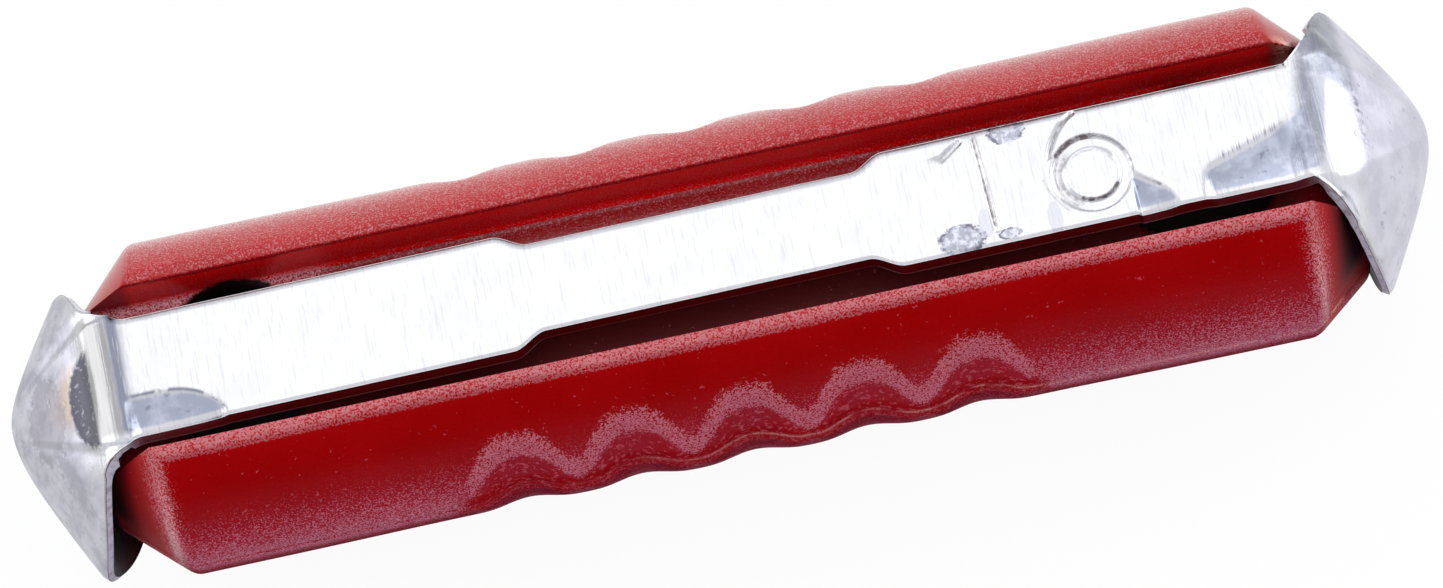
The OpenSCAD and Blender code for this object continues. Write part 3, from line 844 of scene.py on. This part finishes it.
def floor_board():
    """A wide flat board that the fuse lies on."""
    half = 400.0
    points = np.array([[-half, -half, 0], [half, -half, 0], [half, half, 0], [-half, half, 0]])
    material = shader("pale_floor", pale_floor)
    tree = material.node_tree
    bench = Bench(tree, clear=False)
    board = [node for node in tree.nodes if node.type == "BSDF_PRINCIPLED"][0]
    output = [node for node in tree.nodes if node.type == "OUTPUT_MATERIAL"][0]
    paths = bench.node("ShaderNodeLightPath", {}).socket.node
    seen = Wire(bench, paths.outputs["Is Camera Ray"])
    mirrored = Wire(bench, paths.outputs["Is Glossy Ray"])
    x, y, _ = bench.axes(bench.place())
    # For gloss only: painted shade on the board in front of the fuse, dusky violet darkening with distance, and a
    # painted contact shadow close to the body and beside the grips; beside and behind the fuse gloss sees it white.
    aside = x.math("ABSOLUTE", x) + y * 0.8
    shaded = y.above(3.0, 2.0) * aside.above(10.6, 8.1) * (1.0 - seen)
    gloss_shade = bench.mix(y.above(-4.0, -6.5), (0.38, 0.25, 0.42, 1), (0.32, 0.09, 0.27, 1))
    gloss_shade = bench.mix(y.above(-8.0, -20.0), gloss_shade, (0.02, 0.02, 0.06, 1))
    # Painted contact shadow seen in reflections, close in front of the body.
    under = y.above(-3.6, -3.1) + y.above(-5.5, -4.9) * x.math("ABSOLUTE", x).above(5.6, 5.0)
    gloss_shade = bench.mix(under.math("MINIMUM", under, 1.0), gloss_shade, (0.03, 0.005, 0.02, 1))
    colour = bench.mix(shaded, (1.0, 1.0, 1.0, 1), gloss_shade)
    glow = bench.node("ShaderNodeEmission", {}, Color=colour, Strength=1.0)
    share = seen * 0.94 + mirrored
    both = bench.node("ShaderNodeMixShader", {}, share, Wire(bench, board.outputs[0]), glow)
    tree.links.new(both.socket, output.inputs["Surface"])
    material.cycles.emission_sampling = "NONE"
    piece = make_mesh("floor_board", points, np.array([[0, 1, 2, 3]]), np.zeros((0, 3), dtype=int), material)


def studio_world():
    """White all round, with a black card low in front of the fuse that only the camera doesn't see."""
    world = bpy.data.worlds.new("studio")
    bpy.context.scene.world = world
    world.use_nodes = True
    bench = Bench(world.node_tree)
    x, y, z = bench.axes(bench.node("ShaderNodeTexCoord", {}, output="Generated"))
    rise = z.math("ARCTAN2", z, y * -1.0)
    dark = rise.above(-0.35, -0.1) * rise.above(1.02, 0.72) * x.math("ABSOLUTE", x).above(0.68, 0.42)
    camera = bench.node("ShaderNodeLightPath", {}, output="Is Camera Ray")
    strength = camera + (1.0 - camera) * (1.1 - 1.1 * dark)
    light = bench.node("ShaderNodeBackground", {}, Color=(0.97, 0.97, 1.06, 1), Strength=strength)
    bench.node("ShaderNodeOutputWorld", {}, Surface=light)


def soft_light(name, towards, distance, width, height, level):
    """A rectangular light that points at the fuse; level is its power for each unit of its area."""
    lamp = bpy.data.lights.new(name, "AREA")
    lamp.shape = "RECTANGLE"
    lamp.size = width * MM
    lamp.size_y = height * MM
    lamp.energy = level * math.pi * lamp.size * lamp.size_y
    holder = bpy.data.objects.new(name, lamp)
    way = Vector(towards).normalized()
    holder.matrix_world = Matrix.Translation(way * distance * MM) @ way.to_track_quat("Z", "Y").to_matrix().to_4x4()
    bpy.context.scene.collection.objects.link(holder)


CAMERA_DISTANCE = 110.0
CAMERA_ROLL = math.radians(20)
PICTURE_TURN = math.radians(12)
PICTURE_WIDTH = 1443
PIXELS_PER_MM = 57.85
OBJECT_RISE = 3 / PIXELS_PER_MM


def add_camera():
    """Looks square at the fuse's length, tipped towards its front side, and turned in the picture."""
    across = Vector((0, math.cos(CAMERA_ROLL), math.sin(CAMERA_ROLL)))
    along = Vector((1, 0, 0))
    right = along * math.cos(PICTURE_TURN) - across * math.sin(PICTURE_TURN)
    up = along * math.sin(PICTURE_TURN) + across * math.cos(PICTURE_TURN)
    back = right.cross(up)
    centre = Vector((0, 0, AXIS_Z)) - up * OBJECT_RISE
    lens = bpy.data.cameras.new("camera")
    lens.sensor_width = 36
    lens.lens = 36 * CAMERA_DISTANCE / (PICTURE_WIDTH / PIXELS_PER_MM)
    lens.clip_start = 0.001
    lens.clip_end = 10
    camera = bpy.data.objects.new("camera", lens)
    turn = Matrix((right, up, back)).transposed().to_4x4()
    camera.matrix_world = Matrix.Translation((centre + back * CAMERA_DISTANCE) * MM) @ turn
    bpy.context.scene.collection.objects.link(camera)
    bpy.context.scene.camera = camera


add_camera()
studio_world()
soft_light("top_softbox", (0.0, math.sin(math.radians(36)), math.cos(math.radians(36))), 300, 190, 330, 0.68)
soft_light("left_softbox", (-0.8, 0.34, 0.45), 300, 220, 260, 1.3)
soft_light("right_softbox", (0.8, 0.34, 0.45), 300, 220, 260, 1.3)
floor_board()

body = ceramic_body(shader("red_ceramic", red_ceramic))
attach(body, "root")
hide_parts("fuse_body")

element = fuse_element(shader("bright_sheet", bright_sheet))
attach(element, "root")
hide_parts("fuse_element")

bpy.context.scene.view_settings.view_transform = "Standard"
